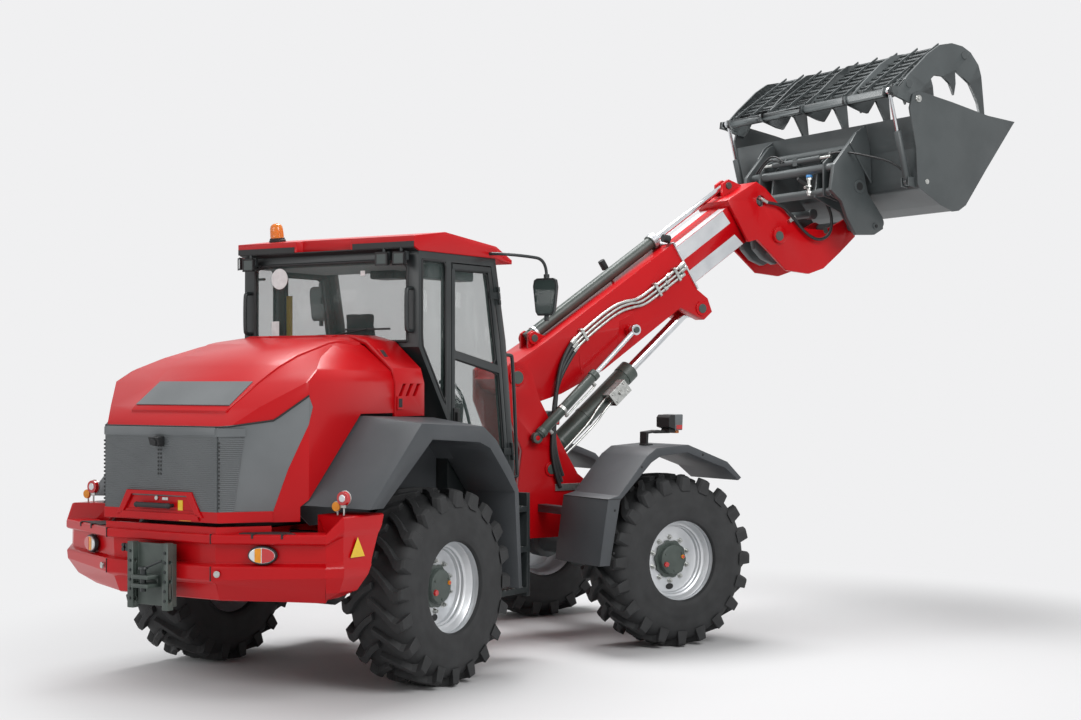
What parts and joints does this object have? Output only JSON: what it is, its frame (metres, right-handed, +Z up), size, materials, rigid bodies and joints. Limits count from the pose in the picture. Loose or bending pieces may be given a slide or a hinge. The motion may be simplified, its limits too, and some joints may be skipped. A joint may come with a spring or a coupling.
{
  "type": "articulated telescopic wheel loader",
  "caption": "Articulated wheel loader with a raised telescopic boom, quick coupler, grab bucket, glazed cab and hinged rear hood.",
  "frame": {"origin": "on the ground under the centre of the whole machine's bounding box, in the stored pose", "axes": "+X forward along the rear body with the cab, +Y to its left, +Z up"},
  "size_m": [8.4013, 4.5752, 4.9885],
  "materials": {
    "body_red": "gloss paint",
    "fender_grey": "moulded, fine grain",
    "dark_steel": "satin paint",
    "tube_grey": "satin paint",
    "rod_chrome": "polished",
    "rim_silver": "satin paint",
    "tyre_black": "rubber",
    "pane": "clear",
    "seat_cloth": "woven",
    "control_black": "matte",
    "lamp_lens": "clear lens in black housing",
    "amber": "translucent",
    "zinc": "zinc plated",
    "engine_iron": "painted"
  },
  "bodies": {
    "rear": {"rear_chassis": "body_red", "engine_block": "engine_iron", "rear_axle": "dark_steel", "rear_bumper": "fender_grey", "hitch": "dark_steel", "side_cowl": "body_red", "rear_fenders": "fender_grey", "cab_frame": "body_red", "cab_glass": "pane", "cab_roof": "body_red", "driver_seat": "seat_cloth", "cab_controls": "control_black", "steps": "body_red", "mirrors": "fender_grey", "grab_rails": "control_black", "work_lamps": "lamp_lens", "beacon": "amber", "tail_lamps": "lamp_lens"},
    "hood": {"hood": "body_red", "hood_grille": "fender_grey"},
    "door_r": {"door_right": "body_red", "door_glass_right": "pane"},
    "door_l": {"door_left": "body_red", "door_glass_left": "pane"},
    "front": {"front_chassis": "body_red", "front_axle": "dark_steel", "front_fenders": "fender_grey", "headlamps": "lamp_lens"},
    "wheel_rr": {"tyre_rear_right": "tyre_black", "rim_rear_right": "rim_silver"},
    "wheel_rl": {"tyre_rear_left": "tyre_black", "rim_rear_left": "rim_silver"},
    "wheel_fr": {"tyre_front_right": "tyre_black", "rim_front_right": "rim_silver"},
    "wheel_fl": {"tyre_front_left": "tyre_black", "rim_front_left": "rim_silver"},
    "boom": {"outer_boom": "body_red", "telescope_barrel": "tube_grey", "boom_pipes": "zinc"},
    "inner": {"inner_boom": "dark_steel", "telescope_rod": "rod_chrome"},
    "lever": {"tilt_lever": "dark_steel"},
    "link": {"tilt_link": "dark_steel"},
    "tool": {"quick_coupler": "dark_steel", "bucket": "dark_steel", "grab_barrels": "dark_steel"},
    "grab_body": {"grab": "dark_steel"},
    "grab_rod": {"grab_rods": "rod_chrome"},
    "lift_tube": {"lift_barrel": "dark_steel"},
    "lift_piston": {"lift_rod": "rod_chrome"},
    "level_tube": {"levelling_barrels": "dark_steel"},
    "level_piston": {"levelling_rods": "rod_chrome"},
    "steer_tube": {"steering_barrel": "dark_steel"},
    "steer_piston": {"steering_rod": "rod_chrome"}
  },
  "joints": [
    {"name": "steering", "type": "hinge", "parent": "rear", "child": "front", "pos_m": [-0.9556, 1.0474, 0.8], "axis": [0, 0, 1], "range_deg": [-14.05, 65.95]},
    {"name": "wheel_rear_right", "type": "hinge", "parent": "rear", "child": "wheel_rr", "pos_m": [-2.4856, 0.0564, 0.665], "axis": [0, 1, 0], "continuous": true},
    {"name": "wheel_rear_left", "type": "hinge", "parent": "rear", "child": "wheel_rl", "pos_m": [-2.4856, 2.0384, 0.665], "axis": [0, 1, 0], "continuous": true},
    {"name": "wheel_front_right", "type": "hinge", "parent": "front", "child": "wheel_fr", "pos_m": [-0.07285, -0.48431, 0.665], "axis": [0.4376, 0.8992, 0], "continuous": true},
    {"name": "wheel_front_left", "type": "hinge", "parent": "front", "child": "wheel_fl", "pos_m": [0.79444, 1.29786, 0.665], "axis": [0.4376, 0.8992, 0], "continuous": true},
    {"name": "hood_hinge", "type": "hinge", "parent": "rear", "child": "hood", "pos_m": [-2.6866, 1.0474, 2.362], "axis": [0, 1, 0], "range_deg": [0, 60]},
    {"name": "door_right_hinge", "type": "hinge", "parent": "rear", "child": "door_r", "pos_m": [-1.22998, 0.2334, 1.9], "axis": [-0.1572, 0, 0.9876], "range_deg": [0, 75]},
    {"name": "door_left_hinge", "type": "hinge", "parent": "rear", "child": "door_l", "pos_m": [-1.22998, 1.8614, 1.9], "axis": [0.1572, 0, -0.9876], "range_deg": [0, 75]},
    {"name": "boom_lift", "type": "hinge", "parent": "front", "child": "boom", "pos_m": [-0.46105, 0.80673, 2.08], "axis": [-0.4376, -0.8992, 0], "range_deg": [-55, 12]},
    {"name": "telescope", "type": "slide", "parent": "boom", "child": "inner", "axis": [0.7455, -0.3628, 0.5592], "range_m": [-0.66, 0.3]},
    {"name": "tool_tilt", "type": "hinge", "parent": "inner", "child": "tool", "pos_m": [2.73102, -0.74671, 3.455], "axis": [-0.4376, -0.8992, 0], "range_deg": [-95, 10]},
    {"name": "tilt_lever_turn", "type": "hinge", "parent": "inner", "child": "lever", "pos_m": [1.96672, -0.37476, 3.335], "axis": [-0.4376, -0.8992, 0], "range_deg": [-96, 11]},
    {"name": "tilt_link_turn", "type": "hinge", "parent": "lever", "child": "link", "pos_m": [1.71585, -0.25267, 3.446], "axis": [-0.4376, -0.8992, 0], "range_deg": [-11, 96]},
    {"name": "grab_swing", "type": "hinge", "parent": "tool", "child": "grab_body", "pos_m": [2.62582, -0.69551, 4.464], "axis": [-0.4376, -0.8992, 0], "range_deg": [0, 55]},
    {"name": "grab_rod_slide", "type": "slide", "parent": "tool", "child": "grab_rod", "axis": [-0.2395, 0.1165, 0.9639], "range_m": [-0.23, 0.005]},
    {"name": "lift_barrel_turn", "type": "hinge", "parent": "front", "child": "lift_tube", "pos_m": [-0.17332, 0.6667, 1.345], "axis": [-0.4376, -0.8992, 0], "range_deg": [-58, 13]},
    {"name": "lift_rod_slide", "type": "slide", "parent": "lift_tube", "child": "lift_piston", "axis": [0.684, -0.3329, 0.6491], "range_m": [-0.73, 0.17]},
    {"name": "levelling_barrel_turn", "type": "hinge", "parent": "front", "child": "level_tube", "pos_m": [-0.32618, 0.74109, 1.6], "axis": [-0.4376, -0.8992, 0], "range_deg": [-56, 13]},
    {"name": "levelling_rod_slide", "type": "slide", "parent": "level_tube", "child": "level_piston", "axis": [0.6633, -0.3228, 0.6751], "range_m": [-0.47, 0.11]},
    {"name": "steering_barrel_turn", "type": "hinge", "parent": "rear", "child": "steer_tube", "pos_m": [-1.3356, 0.7474, 0.8], "axis": [0, 0, 1], "range_deg": [-8, 34]},
    {"name": "steering_rod_slide", "type": "slide", "parent": "steer_tube", "child": "steer_piston", "axis": [0.9837, -0.1796, 0], "range_m": [-0.07, 0.3]}
  ],
  "couplings": [
    {"joint": "tilt_lever_turn", "follows": "tool_tilt", "ratio": 1},
    {"joint": "tilt_link_turn", "follows": "tool_tilt", "ratio": -1},
    {"joint": "grab_rod_slide", "follows": "grab_swing", "m_per_rad": -0.23},
    {"joint": "lift_barrel_turn", "follows": "boom_lift", "ratio": 1.04},
    {"joint": "lift_rod_slide", "follows": "boom_lift", "m_per_rad": 0.745},
    {"joint": "levelling_barrel_turn", "follows": "boom_lift", "ratio": 1},
    {"joint": "levelling_rod_slide", "follows": "boom_lift", "m_per_rad": 0.48},
    {"joint": "steering_barrel_turn", "follows": "steering", "ratio": 0.508},
    {"joint": "steering_rod_slide", "follows": "steering", "m_per_rad": 0.255}
  ]
}
